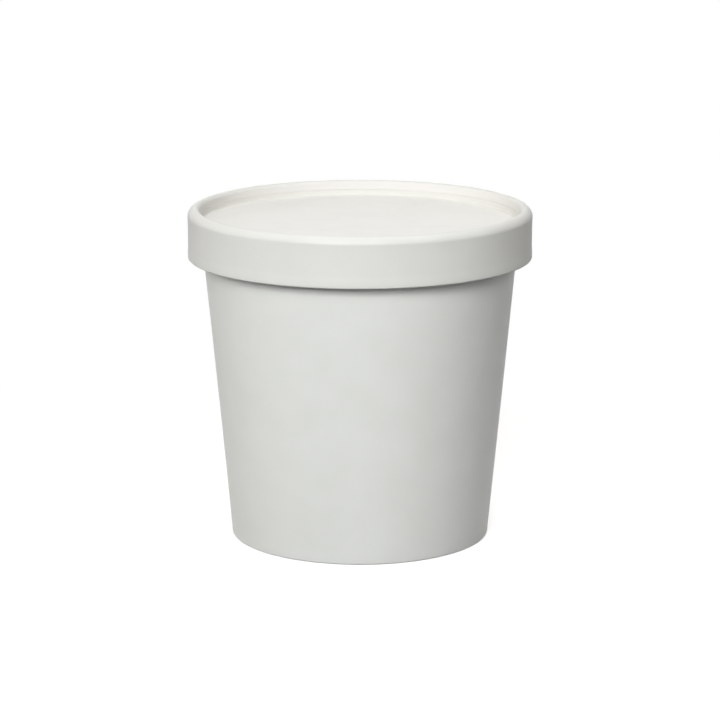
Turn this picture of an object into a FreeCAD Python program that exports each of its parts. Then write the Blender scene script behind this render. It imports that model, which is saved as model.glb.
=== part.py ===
"""Paper soup container with its paper lid pressed on, in millimetres.

+Z points up and the origin is the middle of the foot, on the surface that the container stands on.
The container is shut, so it is solid between its base disc and its lid.

cup        wrapped side wall with its glued lap, the curl at the mouth and the hem folded in at the foot
base_disc  bottom disc, its flange turned down into the fold of the hem
lid_band   skirt, rolled rim and folded lower edge of the lid, one strip closed by a glued lap
lid_disc   sunk panel of the lid, its flange turned up behind the rolled rim
"""
import FreeCAD, Part
import math
import os
import re

import Sketcher

SIZES = [
    ("total_height", 99.0, "from the foot to the crest of the lid"),
    ("lid_radius", 51.0, "outside of the skirt"),
    ("skirt_height", 14.6, "from the crest to the lower edge of the skirt"),
    ("shoulder_radius", 2.4, "rounding of the rolled rim, outside of its crest"),
    ("roll_radius", 1.3, "rounding of the rolled rim, inside of its crest"),
    ("panel_depth", 4.6, "from the crest down to the panel"),
    ("lid_board", 0.42, "thickness of the lid's board"),
    ("skirt_hem", 2.4, "height of the folded lower edge"),
    ("rim_drop", 2.8, "from the crest down to the raw edge of the rolled rim"),
    ("flange_drop", 1.4, "from the crest down to the edge of the panel's flange"),
    ("panel_bend", 0.4, "inner radius where the panel turns up"),
    ("foot_radius", 38.5, "outside of the wall at the foot"),
    ("taper", 0.0934, "growth of the wall's radius for each mm of height"),
    ("cup_board", 0.4, "thickness of the wall's board"),
    ("curl_radius", 1.75, "radius of the section of the curl that carries the lid"),
    ("base_board", 0.38, "thickness of the base disc"),
    ("base_recess", 7.0, "from the foot up to the base disc"),
    ("base_bend", 0.5, "inner radius where the base disc turns down"),
    ("hem_height", 5.6, "height of the folded hem inside the foot"),
    ("fold_radius", 0.45, "rounding of the fold that the cup stands on"),
    ("glue_gap", 0.03, "space between boards that are glued"),
    ("cup_lap_angle", 68.0, "direction of the wall's glued edge, from +X"),
    ("lid_lap_angle", 128.0, "direction of the skirt's glued edge, from +X"),
    ("lap_width", 7.0, "width of both glued laps"),
    ("lap_run", 9.0, "width over which the outer board settles beside a lap"),
    ("lap_root", 0.2, "depth by which a lap reaches into the board below"),
    ("lap_bevel", 1.2, "height over which a lap is pressed flat at its end"),
    ("lap_left", 0.04, "thickness left at the pressed end of a lap"),
]
ALIASES = re.compile(r"\b(" + "|".join(alias for alias, _, _ in SIZES) + r")\b")

# Levels and radii that several pieces share, in terms of the sheet.
PANEL_TOP = "(total_height - panel_depth)"
SEAT = "(total_height - panel_depth - lid_board)"
SKIRT_FOOT = "(total_height - skirt_height)"
SHOULDER = "(total_height - shoulder_radius)"
CREST = "(lid_radius - shoulder_radius)"
RIM_INSIDE = "(lid_radius - shoulder_radius - roll_radius)"
PANEL_FLANGE = "(lid_radius - shoulder_radius - roll_radius + lid_board + glue_gap)"
CURL_MIDDLE = "(total_height - panel_depth - lid_board - curl_radius)"
BASE_TOP = "(base_recess + base_board)"
HEM_PLIES = "(2 * cup_board + base_board + 2 * glue_gap)"
FULL_TURN = 360.0

doc = FreeCAD.newDocument("paper_soup_container")


def make_sheet():
    """The driving dimensions, one row each: name, number and meaning."""
    sheet = doc.addObject("Spreadsheet::Sheet", "Sizes")
    for row, (alias, value, meaning) in enumerate(SIZES, start=1):
        sheet.set(f"A{row}", alias)
        sheet.set(f"B{row}", str(value))
        sheet.setAlias(f"B{row}", alias)
        sheet.set(f"C{row}", meaning)
    doc.recompute()


def bound(text):
    """The expression with each named size read from the sheet."""
    return ALIASES.sub(r"Sizes.\1", text)


def wall(height, inwards="0"):
    """Radius of the wall's outer face at a height, less a distance inwards."""
    return f"(foot_radius + taper * ({height}) - ({inwards}))"


def make_body(name):
    """A body with a label of its own, which names its file."""
    body = doc.addObject("PartDesign::Body", name)
    body.Label = name
    return body


def origin_plane(body, role):
    """One of the body's own origin planes."""
    return next(item for item in body.Origin.OriginFeatures if item.Role == role)


def add_datum(sketch, kind, edge, end, expression):
    """One dimension of a sketch, bound to the sheet: of an end of an edge, or of the edge itself."""
    value = float(sketch.evalExpression(bound(expression)))
    place = (edge,) if end is None else (edge, end)
    index = sketch.addConstraint(Sketcher.Constraint(kind, *place, value))
    sketch.setExpression(f"Constraints[{index}]", bound(expression))


def arc_between(start, end, radius):
    """The arc of less than half a turn from start to end, turning left if radius is over 0."""
    chord = end - start
    left = FreeCAD.Vector(-chord.y, chord.x, 0).normalize()
    lift = math.sqrt(max(radius**2 - (chord.Length / 2)**2, 0))
    centre = (start + end) / 2 + left * math.copysign(lift, radius)
    first, last = (start, end) if radius > 0 else (end, start)
    angles = [math.atan2(point.y - centre.y, point.x - centre.x) for point in (first, last)]
    return Part.ArcOfCircle(Part.Circle(centre, FreeCAD.Vector(0, 0, 1), abs(radius)), *angles)


def draw_outline(body, name, role, corners, height=None):
    """A closed, fully dimensioned sketch on an origin plane of the body.

    A corner is its two coordinates, and the radius of the arc to the next corner where that stretch is
    round: over 0 if the outline turns left there.
    """
    sketch = body.newObject("Sketcher::SketchObject", name)
    sketch.AttachmentSupport = [(origin_plane(body, role), "")]
    sketch.MapMode = "FlatFace"
    if height is not None:
        sketch.setExpression("AttachmentOffset.Base.z", bound(height))
    points = [
        FreeCAD.Vector(*(float(sketch.evalExpression(bound(text))) for text in corner[:2]), 0)
        for corner in corners
    ]
    ends = []
    for index, corner in enumerate(corners):
        start, end = points[index], points[(index + 1) % len(points)]
        if len(corner) == 2:
            edge = sketch.addGeometry(Part.LineSegment(start, end))
            ends.append((edge, 1, 2))
            continue
        radius = float(sketch.evalExpression(bound(corner[2])))
        edge = sketch.addGeometry(arc_between(start, end, radius))
        ends.append((edge, 1, 2) if radius > 0 else (edge, 2, 1))
    for index, (edge, start_end, _) in enumerate(ends):
        last_edge, _, last_end = ends[index - 1]
        sketch.addConstraint(Sketcher.Constraint("Coincident", last_edge, last_end, edge, start_end))
        if corners[index][0] == "0":
            sketch.addConstraint(Sketcher.Constraint("PointOnObject", edge, start_end, -2))
        else:
            add_datum(sketch, "DistanceX", edge, start_end, corners[index][0])
        add_datum(sketch, "DistanceY", edge, start_end, corners[index][1])
        if len(corners[index]) == 3:
            add_datum(sketch, "Radius", edge, None, f"abs({corners[index][2]})")
    doc.recompute()
    return sketch


def turn(body, name, corners, kind="PartDesign::Revolution"):
    """A full turn of an outline of (radius, height) corners about the container's axis."""
    sketch = draw_outline(body, name + "_outline", "XZ_Plane", corners)
    feature = body.newObject(kind, name)
    feature.Profile = sketch
    feature.ReferenceAxis = (sketch, ["V_Axis"])
    feature.Angle = FULL_TURN
    doc.recompute()
    return feature


def polar(radius, angle):
    """A corner given by its distance from the axis and its direction in degrees."""
    return f"({radius}) * cos({angle})", f"({radius}) * sin({angle})"


def draw_lap(body, name, height, radius, board, angle):
    """Section of a glued lap: a step one board high, its width, and the run where it settles."""
    outside = f"({radius} + {board})"
    root = f"({radius} - lap_root)"
    lap_end = f"({angle} + lap_width / {radius} * 180 / pi)"
    run_end = f"({angle} + (lap_width + lap_run) / {radius} * 180 / pi)"
    run_bend = f"1 / (2 * ({board} + lap_root) / lap_run^2 + 1 / {outside})"
    corners = [
        (*polar(outside, angle), outside),
        (*polar(outside, lap_end), run_bend),
        (*polar(root, run_end), f"-{root}"),
        polar(root, angle),
    ]
    return draw_outline(body, name, "XY_Plane", corners, height)


def add_lap(body, name, sections, board, angle):
    """A glued lap along the wall, lofted between sections given as (height, radius)."""
    sketches = [
        draw_lap(body, f"{name}_section_{number}", height, radius, board, angle)
        for number, (height, radius) in enumerate(sections, start=1)
    ]
    loft = body.newObject("PartDesign::AdditiveLoft", name)
    loft.Profile = sketches[0]
    loft.Sections = sketches[1:]
    loft.Ruled = True
    doc.recompute()
    return loft


def press_lap(body, name, end, radius, board, bevel):
    """Press the end of a lap flat: a bevel from its full thickness to nearly nothing.

    bevel is over 0 where the lap goes up from its end, and under 0 where it goes down.
    """
    inside = f"{radius} + lap_left"
    outside = f"{radius} + 1.5 * {board}"
    beyond = f"{end} - {bevel} / 4"
    corners = [(inside, end), (outside, f"{end} + {bevel}"), (outside, beyond), (inside, beyond)]
    volume = body.Shape.Volume
    turn(body, name, corners, "PartDesign::Groove")
    if body.Shape.Volume >= volume:
        raise RuntimeError(f"{name} cuts nothing")


def make_cup():
    """Solid cup: conical wall, curl at the mouth, and the wall folded up inside the foot."""
    body = make_body("cup")
    curl_crest = wall(CURL_MIDDLE, "cup_board - curl_radius")
    tuck = f"({CURL_MIDDLE} - 0.75 * curl_radius)"
    corners = [
        ("0", BASE_TOP),
        ("0", SEAT),
        (curl_crest, SEAT, "-curl_radius"),
        (f"{curl_crest} + curl_radius", CURL_MIDDLE, "-curl_radius"),
        (curl_crest, f"{CURL_MIDDLE} - curl_radius"),
        (wall(tuck), tuck),
        (wall("fold_radius"), "fold_radius", "-fold_radius"),
        (wall("fold_radius", "fold_radius"), "0"),
        (wall("fold_radius", f"{HEM_PLIES} - fold_radius"), "0", "-fold_radius"),
        (wall("fold_radius", HEM_PLIES), "fold_radius"),
        (wall("hem_height", HEM_PLIES), "hem_height"),
        (wall("hem_height", f"{HEM_PLIES} - cup_board"), "hem_height"),
        (wall("cup_board", f"{HEM_PLIES} - cup_board"), "cup_board"),
        (wall("cup_board", "cup_board"), "cup_board"),
        (wall(f"{BASE_TOP} - base_bend", "cup_board"), f"{BASE_TOP} - base_bend", "base_bend"),
        (wall(BASE_TOP, "cup_board + base_bend"), BASE_TOP),
    ]
    turn(body, "cup_form", corners)
    lap_foot = "fold_radius"
    lap_head = f"({CURL_MIDDLE} - curl_radius / 2)"
    sections = [(lap_foot, wall(lap_foot)), (lap_head, wall(lap_head))]
    add_lap(body, "cup_lap", sections, "cup_board", "cup_lap_angle")
    press_lap(body, "cup_lap_foot", lap_foot, wall(lap_foot), "cup_board", "lap_bevel")
    return body


def make_base_disc():
    """Bottom disc with its flange turned down between the wall and the hem."""
    body = make_body("base_disc")
    outer = "cup_board + glue_gap"
    inner = "cup_board + glue_gap + base_board"
    flange_foot = "(cup_board + glue_gap)"
    corners = [
        ("0", "base_recess"),
        ("0", BASE_TOP),
        (wall(BASE_TOP, f"{outer} + base_bend"), BASE_TOP, "-base_bend"),
        (wall(f"{BASE_TOP} - base_bend", outer), f"{BASE_TOP} - base_bend"),
        (wall(flange_foot, outer), flange_foot),
        (wall(flange_foot, inner), flange_foot),
        (wall("base_recess - base_bend / 2", inner), "base_recess - base_bend / 2", "base_bend / 2"),
        (wall("base_recess", f"{inner} + base_bend / 2"), "base_recess"),
    ]
    turn(body, "base_disc_form", corners)
    return body


def make_lid_band():
    """Ring of the lid: skirt with its folded lower edge, and the rim rolled over the cup's curl."""
    body = make_body("lid_band")
    skirt_inside = "(lid_radius - lid_board)"
    hem_inside = "(lid_radius - 2 * lid_board)"
    roll = "(total_height - roll_radius)"
    raw_edge = "(total_height - rim_drop)"
    corners = [
        ("lid_radius", f"{SKIRT_FOOT} + lid_board"),
        ("lid_radius", SHOULDER, "shoulder_radius"),
        (CREST, "total_height", "roll_radius"),
        (RIM_INSIDE, roll),
        (RIM_INSIDE, raw_edge),
        (f"{RIM_INSIDE} + lid_board", raw_edge),
        (f"{RIM_INSIDE} + lid_board", roll, "-(roll_radius - lid_board)"),
        (CREST, "total_height - lid_board", "-(shoulder_radius - lid_board)"),
        (skirt_inside, SHOULDER),
        (skirt_inside, f"{SKIRT_FOOT} + skirt_hem"),
        (hem_inside, f"{SKIRT_FOOT} + skirt_hem"),
        (hem_inside, f"{SKIRT_FOOT} + lid_board", "lid_board"),
        (skirt_inside, SKIRT_FOOT, "lid_board"),
    ]
    turn(body, "lid_band_form", corners)
    sections = [(f"({SKIRT_FOOT} + lid_board)", "lid_radius"), (SHOULDER, "lid_radius")]
    add_lap(body, "lid_lap", sections, "lid_board", "lid_lap_angle")
    press_lap(body, "lid_lap_head", SHOULDER, "lid_radius", "lid_board", "(-lap_bevel)")
    return body


def make_lid_disc():
    """Sunk panel of the lid, with its flange turned up behind the rolled rim."""
    body = make_body("lid_disc")
    outside = f"({PANEL_FLANGE} + lid_board)"
    flange_top = "(total_height - flange_drop)"
    outer_bend = "(panel_bend + lid_board)"
    corners = [
        ("0", SEAT),
        (f"{outside} - {outer_bend}", SEAT, outer_bend),
        (outside, f"{SEAT} + {outer_bend}"),
        (outside, flange_top),
        (PANEL_FLANGE, flange_top),
        (PANEL_FLANGE, f"{PANEL_TOP} + panel_bend", "-panel_bend"),
        (f"{PANEL_FLANGE} - panel_bend", PANEL_TOP),
        ("0", PANEL_TOP),
    ]
    turn(body, "lid_disc_form", corners)
    return body


def check_document(bodies):
    """Stop if any object failed, or if a body isn't one valid solid."""
    for item in doc.Objects:
        if {"Invalid", "Error"} & set(item.State):
            raise RuntimeError(f"{item.Name} failed: {item.State}")
    for body in bodies:
        shape = body.Shape
        if shape.isNull() or not shape.isValid() or len(shape.Solids) != 1:
            raise RuntimeError(f"{body.Label} is not one valid solid")


def write_parts(bodies):
    """One STEP file for each body, named by its label."""
    os.makedirs("parts", exist_ok=True)
    for body in bodies:
        body.Shape.exportStep(f"parts/{body.Label}.step")
        box = body.Shape.optimalBoundingBox(False, False)
        print(f"{body.Label}: {box.XLength:.2f} x {box.YLength:.2f} x {box.ZLength:.2f} mm,"
              f" volume {body.Shape.Volume:.1f} mm3")


make_sheet()
parts = [make_cup(), make_base_disc(), make_lid_band(), make_lid_disc()]
doc.recompute()
check_document(parts)
write_parts(parts)
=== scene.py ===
"""Looks of the shut paper soup container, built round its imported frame. All lengths are in metres.

Every piece is one closed surface turned about the container's axis. Its outline is measured on the
frame, and what hands and machines leave on real board is added to it: glued laps, pleats, pressed
marks and a slight waver.
"""
import math

import bmesh
import bpy
import numpy as np
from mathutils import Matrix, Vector


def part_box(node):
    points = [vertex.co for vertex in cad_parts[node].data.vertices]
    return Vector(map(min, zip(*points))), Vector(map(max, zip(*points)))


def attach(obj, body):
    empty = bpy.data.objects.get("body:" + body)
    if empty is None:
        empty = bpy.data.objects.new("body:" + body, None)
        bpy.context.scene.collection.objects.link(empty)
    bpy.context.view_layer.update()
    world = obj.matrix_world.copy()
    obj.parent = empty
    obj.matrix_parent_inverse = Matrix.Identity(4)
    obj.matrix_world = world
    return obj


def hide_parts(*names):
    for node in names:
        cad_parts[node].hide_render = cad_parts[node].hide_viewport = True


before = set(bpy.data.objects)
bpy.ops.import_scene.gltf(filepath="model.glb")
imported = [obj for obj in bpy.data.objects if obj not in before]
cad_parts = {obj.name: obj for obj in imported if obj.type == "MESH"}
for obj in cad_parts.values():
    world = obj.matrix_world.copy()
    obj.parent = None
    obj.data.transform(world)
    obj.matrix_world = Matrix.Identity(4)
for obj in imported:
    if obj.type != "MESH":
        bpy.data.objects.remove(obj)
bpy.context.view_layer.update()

MM = 0.001
TURN = 2 * math.pi
UP, DOWN = (0, 0, 1), (0, 0, -1)

# Glued laps: direction of the cut edge from +X, and widths along the wall as the frame has them.
# The cut edge rises over LAP_EDGE, and the points just before it stand LAP_STEP radians away.
CUP_LAP = math.radians(68)
LID_LAP = math.radians(128)
LAP_WIDTH = 7 * MM
LAP_RUN = 9 * MM
LAP_EDGE = 0.06 * MM
LAP_STEP = 2e-5
GLUE = 0.03 * MM

# Columns of points round each piece, and the angle from which an edge is drawn sharp.
CUP_COLUMNS = 720
BASE_COLUMNS = 360
RIM_COLUMNS = 1080
PANEL_COLUMNS = 540
SHARP = math.radians(38)

# What the making and pressing of the real board adds to the frame.
RIM_LEAN = 4  # degrees that the rim's inner wall leans in towards the panel
PANEL_BEND = 0.5 * MM
PANEL_ASLANT = 0.28 * MM
PANEL_DISH = 0.1 * MM
BASE_BEND = 0.5 * MM
BASE_BOW = 0.2 * MM
KNURLS = 150
KNURL_DEPTH = 0.05 * MM
SKIRT_DRAWN_IN = 0.09 * MM
SKIRT_DROOP = 0.2 * MM

# Boards as linear colours: the light and dark of each face's cloudiness, and the painted shade on the rim's
# inner wall and at the panel's bend.
CUP_WHITE = (0.80, 0.815, 0.79, 1), (0.765, 0.78, 0.75, 1)
BASE_WHITE = (0.78, 0.785, 0.75, 1), (0.74, 0.745, 0.71, 1)
RIM_WHITE = (0.756, 0.758, 0.731, 1), (0.726, 0.728, 0.70, 1)
# Painted shade on the rim's inner wall, a little warmer than its face.
RIM_PAINTED_SHADE = (0.76, 0.75, 0.72, 1)
PANEL_WHITE = (0.80, 0.795, 0.765, 1), (0.77, 0.765, 0.735, 1)
# Painted shade at the panel's bend, where it meets the rim's wall.
PANEL_PAINTED_SHADE = (0.73, 0.725, 0.69, 1)
CUT_CREAM = (0.76, 0.73, 0.67, 1), (0.60, 0.56, 0.49, 1)
# The bare back of the rim's board: greyer than its face, and darkened further as painted shade inside the
# skirt and roll.
BARE_GREY_AND_SHADE = (0.50, 0.49, 0.46, 1), (0.40, 0.39, 0.36, 1)

# How far the fibres are drawn out along each axis.
UPRIGHT_GRAIN = (1, 1, 0.35)
FLAT_GRAIN = (0.35, 1, 1)

# Camera and light, by direction: 0 degrees is the front, and angles grow towards +X.
CAMERA_ELEVATION = 12.78
CAMERA_DISTANCE = 0.882
CAMERA_LENS = 147.4
CAMERA_AIM = Vector((0, 0, 0.0524))
SENSOR = 36
LIGHT_DISTANCE = 1.2
SOFTBOXES = [  # name, azimuth, elevation, size, power, colour
    ("front_left", -20, 26, 0.4, 6.5, (1, 1, 1)),
    ("front", 0, 26, 0.4, 4.5, (1, 1, 1)),
    ("front_high", 0, 38, 0.4, 1.9, (1, 1, 1)),
    ("right", 65, 28, 0.4, 0.75, (1, 0.95, 0.86)),
    ("left_low", -100, 14, 0.4, 2.85, (1, 0.97, 0.9)),
    ("top_right", 120, 75, 0.5, 3.25, (1, 0.985, 0.955)),
    ("top_back", 180, 75, 0.5, 1.75, (1, 0.985, 0.955)),
    ("back", 175, 40, 0.5, 0.85, (1, 0.985, 0.955)),
    ("back_low", 180, 15, 0.5, 0.25, (1, 1, 1)),
]
ROOM_LIGHT = 0.03

# The table: what it shows near the container, where that fades to plain white, and what it reflects.
FLOOR_HALF = 3.0
FLOOR_WHITE = 0.9
FLOOR_GLOW = 0.5
FLOOR_FADE = 0.08, 0.22
FLOOR_DULL = 0.18


# ---------------------------------------------------------------- sizes, measured on the frame

def ray(node, start, direction):
    """The point where a ray first meets a CAD node."""
    hit, point, _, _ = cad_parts[node].ray_cast(Vector(start), Vector(direction))
    if not hit:
        raise ValueError(f"no surface of {node} that way")
    return point


def outer_radius(node, height):
    """Radius of the outside of a node at a height, at the front."""
    return -ray(node, (0, -1, height), (0, 1, 0)).y


def inner_radius(node, height):
    """Radius of the first surface met from the axis at a height, at the front."""
    return -ray(node, (0, 0, height), (0, -1, 0)).y


def peak(low, high, profile):
    """Where a profile is highest between low and high."""
    return max(np.linspace(low, high, 201), key=profile)


def measure():
    """The sizes that the pieces share. Rays start in the clear, a little off the surface they look for."""
    low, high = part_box("lid_band")
    disc_low, disc_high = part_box("lid_disc")
    base_low, base_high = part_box("base_disc")
    m = {
        "top": high.z,
        "lid_radius": high.x,
        "skirt_foot": low.z,
        "seat": disc_low.z,
        "panel_top": ray("lid_disc", (0, 0, high.z), DOWN).z,
        "flange_radius": disc_high.x,
        "flange_top": disc_high.z,
        "curl_outside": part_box("cup")[1].x,
        "base_foot": base_low.z,
        "base_level": ray("base_disc", (0, 0, 0), UP).z,
        "base_top": base_high.z,
    }
    m["lid_board"] = m["panel_top"] - m["seat"]
    m["base_board"] = m["base_top"] - m["base_level"]

    # The rim: its inner ply, its crest, its raw edge above the panel, and the skirt's folded hem.
    ply_level = high.z - 2.6 * MM
    m["rim_inside"] = inner_radius("lid_band", ply_level)
    m["crest"] = peak(m["rim_inside"] + 0.5 * MM, m["lid_radius"] - MM,
                      lambda r: ray("lid_band", (0, -r, high.z + MM), DOWN).z)
    m["shoulder"] = m["lid_radius"] - m["crest"]
    m["roll"] = m["crest"] - m["rim_inside"]
    ply_middle = m["rim_inside"] + m["lid_board"] / 2
    m["raw_edge"] = ray("lid_band", (0, -ply_middle, m["panel_top"] + 0.3 * MM), UP).z
    hem_middle = m["lid_radius"] - 1.5 * m["lid_board"]
    m["skirt_hem"] = ray("lid_band", (0, -hem_middle, low.z + 6 * MM), DOWN).z

    # The cup: the curl under the lid, the tapered wall, and the hem inside the foot.
    m["curl_level"] = peak(m["seat"] - 5 * MM, m["seat"] - MM, lambda z: outer_radius("cup", z))
    m["curl"] = m["seat"] - m["curl_level"]
    low_wall, high_wall, hem_level = 10 * MM, 80 * MM, 2 * MM
    m["taper"] = (outer_radius("cup", high_wall) - outer_radius("cup", low_wall)) / (high_wall - low_wall)
    m["foot_radius"] = outer_radius("cup", low_wall) - m["taper"] * low_wall
    hem_radius = inner_radius("cup", hem_level)
    in_hem = 0.5 * MM
    m["hem_plies"] = m["foot_radius"] + m["taper"] * hem_level - hem_radius
    m["hem_top"] = ray("cup", (0, -hem_radius - in_hem, m["base_level"] - in_hem), DOWN).z
    m["cup_board"] = (m["hem_plies"] - m["base_board"]) / 2 - GLUE
    return m


SIZE = measure()


def wall_radius(height):
    """Radius of the cup wall's outer face."""
    return SIZE["foot_radius"] + SIZE["taper"] * height


def rim_wall(height):
    """Radius of the rim's inner wall, which runs straight on down from its roll."""
    lean, roll = math.radians(RIM_LEAN), SIZE["roll"]
    start_radius = SIZE["crest"] - roll * math.cos(lean)
    start_height = SIZE["top"] - roll * (1 - math.sin(lean))
    return start_radius - (start_height - height) * math.tan(lean)


# ---------------------------------------------------------------- outlines

def arc(centre, radius, start, end, steps):
    """Points of an arc in the (radius, height) half-plane, angles in degrees from outwards."""
    angles = np.radians(np.linspace(start, end, steps + 1))
    return [(centre[0] + radius * math.cos(a), centre[1] + radius * math.sin(a)) for a in angles]


def straight(start, end, steps):
    """Evenly spaced points from start to just before end."""
    return [tuple(np.array(start) + (np.array(end) - start) * i / steps) for i in range(steps)]


def flat(height, start, end, count):
    """Evenly spaced points of a level face, from one radius to another."""
    return [(radius, height) for radius in np.linspace(start, end, count)]


# ---------------------------------------------------------------- unevenness

def waver(angles, seed, orders, size):
    """A smooth uneven line round the axis, about size high: a few waves with set phases."""
    random = np.random.default_rng(seed)
    total = np.zeros_like(angles)
    for order in orders:
        total += random.uniform(0.5, 1) * np.cos(order * angles + random.uniform(0, TURN))
    return total * size / math.sqrt(len(orders))


def smooth(value, low, high):
    """0 below low, 1 above high, and a smooth step between."""
    t = np.clip((np.asarray(value, float) - low) / (high - low), 0, 1)
    return t * t * (3 - 2 * t)


def lap_height(angles, start, radius):
    """1 on a glued lap, a little less at its pressed edge, falling to 0 over its run, and 0 elsewhere."""
    along = np.mod(angles - start, TURN) * radius
    along = np.where(along > (TURN - 1e-6) * radius, 0, along)
    edge = 0.8 + 0.2 * np.clip(along / LAP_EDGE, 0, 1)
    return np.where(along < LAP_WIDTH, edge, 1 - smooth(along, LAP_WIDTH, LAP_WIDTH + LAP_RUN))


def panel_lift(angle, radius):
    """How far the sunk panel lies off its level: pressed in a little aslant, dished and uneven."""
    share = np.clip(radius / SIZE["flange_radius"], 0, 1)
    aslant = -PANEL_ASLANT * share * np.cos(angle)
    dish = -PANEL_DISH * (1 - share**2)
    warp = waver(angle, 41, (2, 3, 4), 0.03 * MM) * share**2
    return aslant + dish + warp


def inside_flange(radius):
    """1 over the flat of the panel, falling to 0 before the flange."""
    return 1 - smooth(radius, SIZE["flange_radius"] - 4 * MM, SIZE["flange_radius"] - 2.45 * MM)


def still(angle, radius, height):
    """No movement."""
    return np.zeros_like(angle)


# ---------------------------------------------------------------- meshes

def even_columns(count):
    """Directions of evenly spaced columns."""
    return np.linspace(0, TURN, count, endpoint=False)


def lap_columns(count, lap, radius):
    """Directions of even columns, with the extra ones that a lap's cut edge needs."""
    even, clear = even_columns(count), 2e-4
    edge = np.array([lap - LAP_STEP, lap, lap + LAP_EDGE / radius])
    near = np.abs(np.mod(even[:, None] - edge + math.pi, TURN) - math.pi).min(axis=1)
    return np.sort(np.concatenate([even[near > clear], edge]))


def turned(name, outline, angles, radial, lift, edge_rows=(), back_rows=(), lap=None):
    """A closed surface turned from an outline of (radius, height) points.

    radial and lift are functions of the grid of directions and of the outline that say how far each
    point is moved out and up. edge_rows are the outline's spans of cut board, and lap is the direction
    of a cut edge: those faces get the second material. back_rows are the spans on the back of the
    board, which get the third.
    """
    outline = np.array(outline)
    grid_angle, grid_radius = np.meshgrid(angles, outline[:, 0], indexing="ij")
    grid_height = np.broadcast_to(outline[:, 1], grid_angle.shape)
    radius = grid_radius + radial(grid_angle, grid_radius, grid_height)
    height = grid_height + lift(grid_angle, grid_radius, grid_height)
    points = np.stack([radius * np.cos(grid_angle), radius * np.sin(grid_angle), height], axis=-1)

    # Each column shares its points with the next, and the points on the axis are one.
    count, rows = grid_angle.shape
    index = np.arange(count * rows).reshape(count, rows)
    on_axis = [row for row in range(rows) if outline[row, 0] < 1e-7]
    for row in on_axis:
        index[:, row] = index[0, row]
    faces, kinds = [], []
    for column in range(count):
        after = (column + 1) % count
        lap_here = lap is not None and abs(angles[column] - (lap - LAP_STEP)) < 1e-6
        for row in range(rows):
            below = (row + 1) % rows
            if row in on_axis and below in on_axis:
                continue
            corners = [index[column, row], index[after, row], index[after, below], index[column, below]]
            faces.append(list(dict.fromkeys(int(corner) for corner in corners)))
            kinds.append(1 if row in edge_rows or lap_here else 2 if row in back_rows else 0)

    mesh = bpy.data.meshes.new(name)
    mesh.from_pydata(points.reshape(-1, 3).tolist(), [], faces)
    mesh.polygons.foreach_set("material_index", np.array(kinds, dtype=np.int32))
    mesh.validate()
    clean(mesh)
    mesh.polygons.foreach_set("use_smooth", np.ones(len(mesh.polygons), dtype=bool))
    mesh.set_sharp_from_angle(angle=SHARP)
    piece = bpy.data.objects.new(name, mesh)
    bpy.context.scene.collection.objects.link(piece)
    return piece


def clean(mesh):
    """Drop the points that no face uses, and turn all faces outwards."""
    work = bmesh.new()
    work.from_mesh(mesh)
    loose = [point for point in work.verts if not point.link_faces]
    bmesh.ops.delete(work, geom=loose, context="VERTS")
    bmesh.ops.recalc_face_normals(work, faces=work.faces)
    work.to_mesh(mesh)
    work.free()


# ---------------------------------------------------------------- the cup

def make_cup():
    """Wall with its lap, the curl under the lid, and the hem folded in under the base."""
    board, plies, curl = SIZE["cup_board"], SIZE["hem_plies"], SIZE["curl"]
    seat, foot_radius = SIZE["seat"], SIZE["foot_radius"]
    hem_top, base_top, ring_stiff = SIZE["hem_top"], SIZE["base_top"], SIZE["skirt_foot"]
    curl_middle = (SIZE["curl_outside"] - curl, SIZE["curl_level"])
    tuck = curl_middle[1] - 0.64 * curl
    fold = plies / 2
    hem_inside = wall_radius(hem_top) - plies
    slot_foot = board + 0.1 * MM

    # Top under the lid, curl, wall down to the foot, fold, hem, the slot for the base's flange, inside.
    outline = flat(seat, 0, curl_middle[0] - 0.2 * MM, 20)
    outline += arc(curl_middle, curl, 90, -135, 16)
    outline += straight((wall_radius(tuck), tuck), (wall_radius(fold), fold), 52)
    outline += arc((wall_radius(fold) - fold, fold), fold, 0, -180, 10)
    outline += straight(outline[-1], (hem_inside, hem_top), 8)[1:]
    outline.append((hem_inside, hem_top))
    hem_edge = len(outline) - 1
    outline.append((hem_inside + board, hem_top))
    outline.append((wall_radius(slot_foot) - plies + board, slot_foot))
    outline.append((wall_radius(slot_foot) - board, slot_foot))
    outline += arc((wall_radius(base_top) - board - BASE_BEND, base_top - BASE_BEND), BASE_BEND, 0, 90, 4)
    outline.append((0, base_top))

    def radial(angle, radius, height):
        on_wall = (radius > wall_radius(height) - board / 2) & (height < tuck + 0.1 * MM)
        on_hem = (radius < wall_radius(height) - plies + board / 2) & (height < hem_top + MM)
        on_hem &= radius > 0.5 * foot_radius
        low = smooth(height, 0, 30 * MM)
        high = 1 - smooth(height, ring_stiff - 30 * MM, ring_stiff)
        bow = waver(angle, 11, (2, 3, 5), 0.10 * MM) * low * high
        ripple = waver(angle, 12, (9, 14, 23), 0.012 * MM) * low
        lap = lap_height(angle, CUP_LAP, foot_radius) * board * smooth(height, 0, fold)
        knurl = KNURL_DEPTH * np.cos(KNURLS * angle) * smooth(height, fold, fold + 0.8 * MM)
        return on_wall * (bow + ripple + lap) - on_hem * (knurl + lap)

    def lift(angle, radius, height):
        under_panel = height > seat - 0.01 * MM
        return under_panel * inside_flange(radius) * (panel_lift(angle, radius) - 0.02 * MM)

    angles = lap_columns(CUP_COLUMNS, CUP_LAP, foot_radius)
    piece = turned("cup_wall", outline, angles, radial, lift, {hem_edge}, lap=CUP_LAP)
    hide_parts("cup")
    return piece


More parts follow.
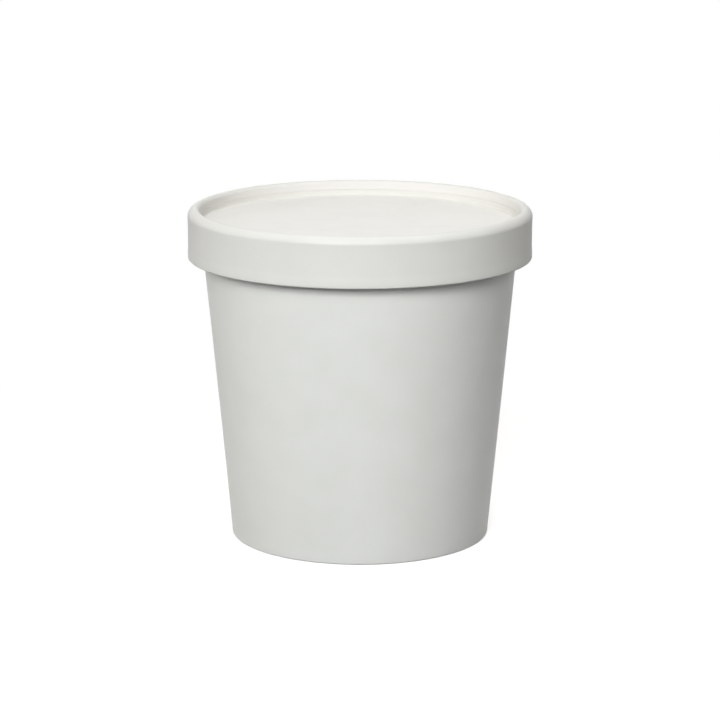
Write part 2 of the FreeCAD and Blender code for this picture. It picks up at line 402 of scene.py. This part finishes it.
def make_base():
    """Base disc, bowed up a little, with its flange turned down between the wall and the hem."""
    outer = SIZE["cup_board"] + GLUE
    inner = outer + SIZE["base_board"]
    foot, level, top = SIZE["base_foot"], SIZE["base_level"], SIZE["base_top"]
    inner_bend = BASE_BEND / 2
    bend_middle = (wall_radius(level) - inner - inner_bend, level - inner_bend)
    outline = flat(level, 0, bend_middle[0], 24)
    outline += arc(bend_middle, inner_bend, 90, 0, 4)[1:]
    outline.append((wall_radius(foot) - inner, foot))
    outline.append((wall_radius(foot) - outer, foot))
    outline += arc((wall_radius(top) - outer - BASE_BEND, top - BASE_BEND), BASE_BEND, 0, 90, 4)
    outline.append((0, top))
    bowed = 0.92  # share of the foot's radius that bows

    def lift(angle, radius, height):
        share = np.clip(radius / SIZE["foot_radius"], 0, 1)
        under = (height < (level + top) / 2) & (share < bowed)
        bow = BASE_BOW * (1 - (share / bowed) ** 2)
        uneven = waver(angle, 21, (2, 3), 0.03 * MM) * share * (1 - smooth(share, 0.6, bowed))
        return under * (bow + uneven)

    piece = turned("base", outline, even_columns(BASE_COLUMNS), still, lift)
    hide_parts("base_disc")
    return piece


# ---------------------------------------------------------------- the lid

def make_band():
    """Skirt, rolled rim and folded lower edge, with the lap that closes the strip."""
    board, shoulder, roll = SIZE["lid_board"], SIZE["shoulder"], SIZE["roll"]
    outside, crest = SIZE["lid_radius"], SIZE["crest"]
    top, foot, raw_edge, hem_top = SIZE["top"], SIZE["skirt_foot"], SIZE["raw_edge"], SIZE["skirt_hem"]
    neck = top - shoulder
    ply = rim_wall(raw_edge)
    roll_end = 180 - RIM_LEAN

    # Skirt, shoulder, roll and inner ply down to its raw edge; then back on the inside, and round the hem.
    outline = straight((outside, foot + board), (outside, neck), 26)
    outline += arc((crest, neck), shoulder, 0, 90, 18)
    outline += arc((crest, top - roll), roll, 90, roll_end, 12)[1:]
    outline += straight(outline[-1], (ply, raw_edge), 3)[1:]
    outline.append((ply, raw_edge))
    raw_row = len(outline) - 1
    outline.append((ply + board, raw_edge))
    outline += arc((crest, top - roll), roll - board, roll_end, 90, 6)
    outline += arc((crest, neck), shoulder - board, 90, 0, 8)[1:]
    outline.append((outside - board, hem_top))
    hem_row = len(outline) - 1
    back_rows = range(raw_row + 1, hem_row)
    outline.append((outside - 2 * board, hem_top))
    outline += arc((outside - board, foot + board), board, 180, 360, 8)[:-1]

    def middle(radius):
        """Level of the middle of the roll's rounding, which is tighter inside its crest."""
        return np.where(radius > crest, neck, top - roll)

    def face_turn(radius, height):
        """Direction that the rolled face looks in: 0 outwards, 1 up, 2 inwards."""
        return np.arctan2(np.maximum(height - middle(radius), 0), radius - crest) / (math.pi / 2)

    def is_outer(radius, height):
        """Whether a point lies on the face that shows, and not on the back of the board."""
        reach = np.where(radius > crest, shoulder, roll)
        return np.hypot(radius - crest, np.maximum(height - middle(radius), 0)) > reach - board / 2

    def pleats(angle):
        """Short folds of the board in the roll, gathered here and there."""
        fine = waver(angle, 31, (83, 101, 127, 149, 173), 1.0)
        gathered = 0.5 + 0.5 * waver(angle, 32, (3, 4, 7, 11), 0.8)
        return fine * gathered

    def outwards(angle, radius, height):
        """How far the face that shows stands out, along the direction that it looks in."""
        turn = face_turn(radius, height)
        lap = lap_height(angle, LID_LAP, outside) * (0.95 * board) * (1 - 0.85 * smooth(turn, 0, 0.8))
        fold = pleats(angle) * 0.010 * MM * smooth(turn, 0.2, 1.4)
        on_shoulder = smooth(turn, 0.1, 0.45) * (1 - smooth(turn, 0.55, 0.95))
        crushed = waver(angle, 35, (14, 19, 27), 0.035 * MM) * on_shoulder
        low = (waver(angle, 33, (2, 3, 5), 0.03 * MM) - 0.08 * MM) * smooth(turn, 0, 0.5)
        return is_outer(radius, height) * (lap + fold + crushed + low)

    def radial(angle, radius, height):
        turn = face_turn(radius, height) * math.pi / 2
        skirt = (height < neck) & (radius > outside - 3 * board)
        out_of_round = waver(angle, 34, (3, 5, 7), 0.008 * MM) - (0.01 + 0.03 * np.sin(angle) ** 2) * MM
        above_hem = smooth(height, foot + 1.6 * MM, foot + 3.6 * MM)
        under_roll = 1 - smooth(height, neck - 3.5 * MM, neck)
        drawn_in = -SKIRT_DRAWN_IN * above_hem * under_roll
        return outwards(angle, radius, height) * np.cos(turn) + skirt * (out_of_round + drawn_in)

    def lift(angle, radius, height):
        turn = face_turn(radius, height) * math.pi / 2
        near_foot = 1 - smooth(height, foot + MM, foot + 6 * MM)
        droop = (waver(angle, 36, (2, 3, 5, 8), 0.03 * MM) - SKIRT_DROOP) * near_foot
        return outwards(angle, radius, height) * np.sin(turn) + droop

    angles = lap_columns(RIM_COLUMNS, LID_LAP, outside)
    piece = turned("lid_rim", outline, angles, radial, lift, {raw_row, hem_row}, back_rows, LID_LAP)
    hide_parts("lid_band")
    return piece


def make_panel():
    """Sunk panel, lying a little aslant; its flange leans out and on behind the rim's ply."""
    board, lean = SIZE["lid_board"], math.radians(RIM_LEAN)
    outside, top, seat = SIZE["flange_radius"], SIZE["panel_top"], SIZE["seat"]
    inside, flange_top, raw_edge = outside - board, SIZE["flange_top"], SIZE["raw_edge"]
    level = top + PANEL_BEND
    bend_end = rim_wall(level - PANEL_BEND * math.sin(lean))
    middle = (bend_end - PANEL_BEND * math.cos(lean), level)

    # Face, bend and wall up to the rim's raw edge; then the flange behind the rim, and the underside.
    outline = flat(top, 0, middle[0], 40)
    outline += arc(middle, PANEL_BEND, -90, -RIM_LEAN, 8)[1:]
    outline.append((rim_wall(raw_edge) + 0.02 * MM, raw_edge - 0.04 * MM))
    outline.append((inside, raw_edge - 0.02 * MM))
    outline.append((inside, flange_top))
    outline.append((outside, flange_top))
    outline.append((outside, raw_edge - 0.1 * MM))
    outline += arc(middle, PANEL_BEND + board, -RIM_LEAN, -90, 8)
    outline += flat(seat, middle[0] - 0.2 * MM, 0, 24)

    def lift(angle, radius, height):
        face = np.hypot(np.maximum(radius - middle[0], 0), height - level) < PANEL_BEND + board / 2
        face &= height > top - board / 2
        back = height < seat + 0.01 * MM
        return (face + back * inside_flange(radius)) * panel_lift(angle, radius)

    piece = turned("lid_panel", outline, even_columns(PANEL_COLUMNS), still, lift)
    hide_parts("lid_disc")
    return piece


# ---------------------------------------------------------------- materials

class Nodes:
    """The node tree of a material or world, with short calls to add nodes and join them."""

    def __init__(self, owner):
        self.owner = owner
        owner.use_nodes = True
        self.tree = owner.node_tree
        self.tree.nodes.clear()

    def put(self, socket, value):
        """Join a socket to another, or set its value."""
        if isinstance(value, bpy.types.NodeSocket):
            self.tree.links.new(value, socket)
        else:
            socket.default_value = value

    def add(self, kind, inputs=None, **settings):
        node = self.tree.nodes.new(kind)
        for key, value in settings.items():
            setattr(node, key, value)
        for key, value in (inputs or {}).items():
            self.put(node.inputs[key], value)
        return node

    def place(self):
        """Where a point is on the object."""
        return self.add("ShaderNodeTexCoord").outputs["Object"]

    def reach(self, place):
        """How far a place is from the origin."""
        return self.add("ShaderNodeVectorMath", {0: place}, operation="LENGTH").outputs["Value"]

    def noise(self, vector, scale, detail, roughness=0.5):
        inputs = {"Vector": vector, "Scale": scale, "Detail": detail, "Roughness": roughness}
        return self.add("ShaderNodeTexNoise", inputs).outputs["Fac"]

    def spread(self, value, low, high, to_low, to_high):
        """A value between low and high, carried over to between to_low and to_high."""
        inputs = {"Value": value, "From Min": low, "From Max": high, "To Min": to_low, "To Max": to_high}
        return self.add("ShaderNodeMapRange", inputs).outputs["Result"]

    def noise_to(self, noise, to_low, to_high):
        """A noise's usual span carried over to another."""
        return self.spread(noise, 0.3, 0.7, to_low, to_high)

    def mix(self, share, first, second):
        node = self.add("ShaderNodeMix", data_type="RGBA")
        for number, value in ((0, share), (6, first), (7, second)):
            self.put(node.inputs[number], value)
        return node.outputs[2]

    def add_up(self, first, second, weight):
        """First plus second times weight."""
        inputs = {0: second, 1: weight, 2: first}
        return self.add("ShaderNodeMath", inputs, operation="MULTIPLY_ADD").outputs[0]

    def bump(self, height, strength, distance):
        inputs = {"Strength": strength, "Distance": distance, "Height": height}
        return self.add("ShaderNodeBump", inputs).outputs["Normal"]

    def seen(self):
        """1 for what the camera sees, straight or in a gloss or clear surface, and 0 for other light."""
        path = self.add("ShaderNodeLightPath")
        seen = path.outputs["Is Camera Ray"]
        for way in ("Is Glossy Ray", "Is Transmission Ray"):
            inputs = {0: seen, 1: path.outputs[way]}
            seen = self.add("ShaderNodeMath", inputs, operation="MAXIMUM").outputs[0]
        return seen

    def blend(self, share, first, second):
        """One shader fading into another."""
        return self.add("ShaderNodeMixShader", {0: share, 1: first, 2: second}).outputs["Shader"]

    def finish(self, shader, kind="ShaderNodeOutputMaterial"):
        self.add(kind, {"Surface": shader})
        return self.owner


def coated_board(name, colours, roughness, coat, grain, dull=None):
    """Bleached board under a thin plastic coat: faint cloudiness, fibres and an uneven gloss.

    dull is the distance from the axis where the board starts to get a painted shade and a rougher gloss,
    the one where both are full, and the colour of that painted shade.
    """
    nodes = Nodes(bpy.data.materials.new(name))
    place = nodes.place()
    drawn = nodes.add("ShaderNodeMapping", {"Vector": place, "Scale": grain}).outputs["Vector"]
    cloud = nodes.noise(place, 90.0, 2.0)
    fibre = nodes.noise(drawn, 2600.0, 4.0, 0.62)
    fleck = nodes.noise(drawn, 900.0, 2.0)
    light, dark = colours
    tone = nodes.add_up(nodes.noise_to(cloud, 0.0, 0.7), nodes.noise_to(fibre, 0.0, 0.3), 1.0)
    colour = nodes.mix(tone, dark, light)
    gloss = nodes.noise_to(nodes.noise(place, 240.0, 3.0), roughness - 0.04, roughness + 0.05)
    # Painted shade: between the two distances the colour fades to the given shade colour, and the gloss
    # gets rougher.
    if dull:
        start, end, shade = dull
        level = nodes.add("ShaderNodeVectorMath", {0: place, 1: (1, 1, 0)}, operation="MULTIPLY").outputs[0]
        share = nodes.spread(nodes.reach(level), start, end, 0.0, 1.0)
        colour = nodes.mix(share, colour, shade)
        gloss = nodes.add_up(gloss, share, 0.4)
    relief = nodes.add_up(fleck, fibre, 0.6)
    inputs = {
        "Base Color": colour,
        "Roughness": gloss,
        "Normal": nodes.bump(relief, 0.35, 0.012 * MM),
        "Coat Weight": coat,
        "Coat Roughness": 0.32,
        "IOR": 1.5,
    }
    return nodes.finish(nodes.add("ShaderNodeBsdfPrincipled", inputs).outputs["BSDF"])


def plain_board(name, colours, roughness, scale, detail, harshness, strength, distance):
    """Board with no coat: matt and fibrous. scale, detail and harshness are of its fibres' noise."""
    nodes = Nodes(bpy.data.materials.new(name))
    fibre = nodes.noise(nodes.place(), scale, detail, harshness)
    light, dark = colours
    inputs = {
        "Base Color": nodes.mix(nodes.noise_to(fibre, 0.0, 1.0), dark, light),
        "Roughness": roughness,
        "Normal": nodes.bump(fibre, strength, distance),
    }
    return nodes.finish(nodes.add("ShaderNodeBsdfPrincipled", inputs).outputs["BSDF"])


def paint(piece, *materials):
    """Give a piece its materials: the board's face, then its cut edge and its back."""
    for material in materials:
        piece.data.materials.append(material)


# ---------------------------------------------------------------- stage

def set_up(name, data, azimuth, elevation, distance):
    """Put a camera or lamp in a direction from the middle of the container, looking at it."""
    item = bpy.data.objects.new(name, data)
    a, e = math.radians(azimuth), math.radians(elevation)
    way = Vector((math.sin(a) * math.cos(e), -math.cos(a) * math.cos(e), math.sin(e)))
    item.location = CAMERA_AIM + way * distance
    item.rotation_mode = "QUATERNION"
    item.rotation_quaternion = (CAMERA_AIM - item.location).to_track_quat("-Z", "Y")
    bpy.context.scene.collection.objects.link(item)
    return item


def add_camera():
    """The camera, straight in front and a little above."""
    data = bpy.data.cameras.new("camera")
    data.sensor_width = SENSOR
    data.lens = CAMERA_LENS
    bpy.context.scene.camera = set_up("camera", data, 0, CAMERA_ELEVATION, CAMERA_DISTANCE)


def add_light(name, azimuth, elevation, size, power, colour):
    """A square softbox."""
    data = bpy.data.lights.new(name, "AREA")
    data.shape = "SQUARE"
    data.size = size
    data.energy = power
    data.color = colour
    set_up(name, data, azimuth, elevation, LIGHT_DISTANCE)


def grey(value):
    """A neutral colour."""
    return (value, value, value, 1)


def add_floor():
    """White table that keeps the container's shadow and fades to plain white.

    It lights the container little from below.
    """
    half = FLOOR_HALF
    corners = [(-half, -half, 0), (half, -half, 0), (half, half, 0), (-half, half, 0)]
    mesh = bpy.data.meshes.new("floor")
    mesh.from_pydata(corners, [], [(0, 1, 2, 3)])
    floor = bpy.data.objects.new("floor", mesh)
    bpy.context.scene.collection.objects.link(floor)

    nodes = Nodes(bpy.data.materials.new("table_white"))
    away = nodes.spread(nodes.reach(nodes.place()), *FLOOR_FADE, 0.0, 1.0)
    white = nodes.add("ShaderNodeBsdfDiffuse", {"Color": grey(FLOOR_WHITE)}).outputs["BSDF"]
    glow = nodes.add("ShaderNodeEmission", {"Color": grey(1), "Strength": FLOOR_GLOW}).outputs["Emission"]
    near = nodes.add("ShaderNodeAddShader", {0: white, 1: glow}).outputs["Shader"]
    plain = nodes.add("ShaderNodeEmission", {"Color": grey(1), "Strength": 1.0}).outputs["Emission"]
    dull = nodes.add("ShaderNodeBsdfDiffuse", {"Color": grey(FLOOR_DULL)}).outputs["BSDF"]
    shown = nodes.blend(away, near, plain)
    floor.data.materials.append(nodes.finish(nodes.blend(nodes.seen(), dull, shown)))


def add_world():
    """White backdrop to the camera, and a dim room to everything else."""
    nodes = Nodes(bpy.data.worlds.new("room"))
    room, white = (
        nodes.add("ShaderNodeBackground", {"Color": grey(1), "Strength": strength}).outputs["Background"]
        for strength in (ROOM_LIGHT, 1.0)
    )
    surface = nodes.blend(nodes.seen(), room, white)
    bpy.context.scene.world = nodes.finish(surface, "ShaderNodeOutputWorld")


# ---------------------------------------------------------------- the scene

cut_edge = plain_board("cut_edge", CUT_CREAM, 0.9, 5200.0, 4.0, 0.7, 0.6, 0.03 * MM)
cup_wall = make_cup()
paint(cup_wall, coated_board("cup_face", CUP_WHITE, 0.46, 0.10, UPRIGHT_GRAIN), cut_edge)
base = make_base()
paint(base, coated_board("base_face", BASE_WHITE, 0.55, 0.05, FLAT_GRAIN), cut_edge)

# Painted shade on the rim's inner wall: from the crest inwards the colour fades to a painted shade, a
# little warmer than the face, and the gloss gets rougher.
painted_shade_in_roll = (SIZE["crest"], SIZE["rim_inside"], RIM_PAINTED_SHADE)
lid_rim = make_band()
# The back of the rim's board, inside the skirt and roll, is greyer than its face and darkened further as
# painted shade under the skirt.
paint(lid_rim, coated_board("rim_face", RIM_WHITE, 0.52, 0.03, UPRIGHT_GRAIN, painted_shade_in_roll), cut_edge,
      plain_board("rim_back", BARE_GREY_AND_SHADE, 0.85, 1900.0, 5.0, 0.65, 0.5, 0.02 * MM))

# Painted shade at the panel's bend: near the foot of the rim's wall the colour fades to a darker painted
# shade, and the gloss gets rougher.
panel_edge = rim_wall(SIZE["panel_top"])
painted_shade_at_bend = (panel_edge - 0.7 * MM, panel_edge - 0.1 * MM, PANEL_PAINTED_SHADE)
lid_panel = make_panel()
paint(lid_panel, coated_board("panel_face", PANEL_WHITE, 0.46, 0.10, FLAT_GRAIN, painted_shade_at_bend), cut_edge)

for piece in (cup_wall, base, lid_rim, lid_panel):
    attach(piece, "root")

add_camera()
for softbox in SOFTBOXES:
    add_light(*softbox)
add_floor()
add_world()
bpy.context.scene.view_settings.view_transform = "Standard"
